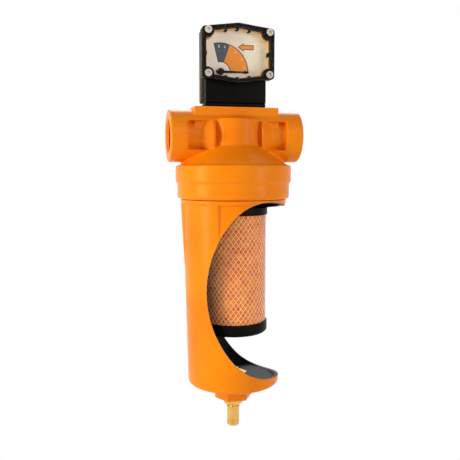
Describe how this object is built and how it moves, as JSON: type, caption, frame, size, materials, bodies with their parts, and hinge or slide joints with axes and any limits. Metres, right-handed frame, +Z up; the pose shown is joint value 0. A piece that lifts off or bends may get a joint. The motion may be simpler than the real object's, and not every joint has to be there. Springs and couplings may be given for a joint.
{
  "type": "compressed air filter",
  "caption": "In-line compressed air filter with cast head and threaded ports, screw-on bowl with cut-away window, drop-in element, differential pressure gauge and manual drain.",
  "frame": {"origin": "on the vertical axis of the bowl, at the height of the drain tube's tip", "axes": "+Z up along the bowl axis, +X towards the outlet port, -Y towards the gauge window"},
  "size_m": [0.125, 0.1102, 0.3848],
  "materials": {
    "powder_coat": "gloss powder coat",
    "nitrile": "moulded",
    "cap_plastic": "moulded, satin",
    "mesh_steel": "expanded metal",
    "filter_felt": "needled felt",
    "glass_fibre": "pleated glass fibre",
    "core_steel": "perforated sheet",
    "gauge_black": "moulded, satin",
    "bezel_black": "moulded, gloss",
    "clear_cover": "clear polycarbonate",
    "dial_face": "printed, satin",
    "needle_black": "moulded",
    "screw_steel": "zinc plated",
    "piston_aluminium": "turned",
    "magnet_grey": "sintered",
    "drain_brass": "turned"
  },
  "bodies": {
    "root": {"head": "powder_coat", "gauge_plate": "gauge_black", "gauge_gasket": "nitrile", "gauge_block": "gauge_black", "gauge_back_cover": "gauge_black", "gauge_bezel": "bezel_black", "gauge_lens": "clear_cover", "dial_plate": "dial_face", "needle_axle": "screw_steel", "lens_screw_nw": "screw_steel", "lens_screw_ne": "screw_steel", "lens_screw_sw": "screw_steel", "lens_screw_se": "screw_steel", "cover_screws": "screw_steel", "dp_plug": "drain_brass", "gauge_stud_in": "screw_steel", "gauge_stud_out": "screw_steel", "stud_orings": "nitrile", "dp_spring": "screw_steel"},
    "bowl_carrier": {"bowl_oring": "nitrile"},
    "bowl": {"bowl": "powder_coat", "drain_body": "drain_brass", "drain_gasket": "nitrile", "drain_nut": "drain_brass"},
    "element": {"element_top_cap": "cap_plastic", "element_bottom_cap": "cap_plastic", "element_mesh": "mesh_steel", "element_sleeve": "filter_felt", "element_pleats": "glass_fibre", "element_core": "core_steel", "element_oring": "nitrile"},
    "valve": {"valve_pin": "drain_brass", "valve_seal": "nitrile"},
    "drain_stem": {"drain_stem": "drain_brass", "stem_oring": "nitrile"},
    "piston": {"dp_piston": "piston_aluminium", "dp_magnet": "magnet_grey"},
    "needle": {"needle": "needle_black"}
  },
  "joints": [
    {"name": "bowl_drop", "type": "slide", "parent": "root", "child": "bowl_carrier", "axis": [0, 0, -1], "range_m": [0, 0.0101]},
    {"name": "bowl_turn", "type": "hinge", "parent": "bowl_carrier", "child": "bowl", "pos_m": [0, 0, 0.23], "axis": [0, 0, -1], "range_deg": [0, 900]},
    {"name": "element_pull", "type": "slide", "parent": "root", "child": "element", "axis": [0, 0, -1], "range_m": [0, 0.016]},
    {"name": "drain_lift", "type": "slide", "parent": "bowl", "child": "valve", "axis": [0, 0, 1], "range_m": [0, 0.002]},
    {"name": "drain_turn", "type": "hinge", "parent": "valve", "child": "drain_stem", "pos_m": [0, 0, 0.02], "axis": [0, 0, 1], "range_deg": [0, 361]},
    {"name": "piston_slide", "type": "slide", "parent": "root", "child": "piston", "axis": [0, 0, 1], "range_m": [0, 0.006], "stiffness_N_per_m": 200, "springref_m": -0.003, "deforming": ["dp_spring"]},
    {"name": "needle_turn", "type": "hinge", "parent": "root", "child": "needle", "pos_m": [-0.015, -0.012, 0.3418], "axis": [0, -1, 0], "range_deg": [0, 100.2]}
  ],
  "couplings": [
    {"joint": "bowl_drop", "follows": "bowl_turn", "m_per_rad": 0.00063662},
    {"joint": "drain_turn", "follows": "drain_lift", "rad_per_m": 3141.6},
    {"joint": "needle_turn", "follows": "piston_slide", "rad_per_m": 290.89}
  ]
}
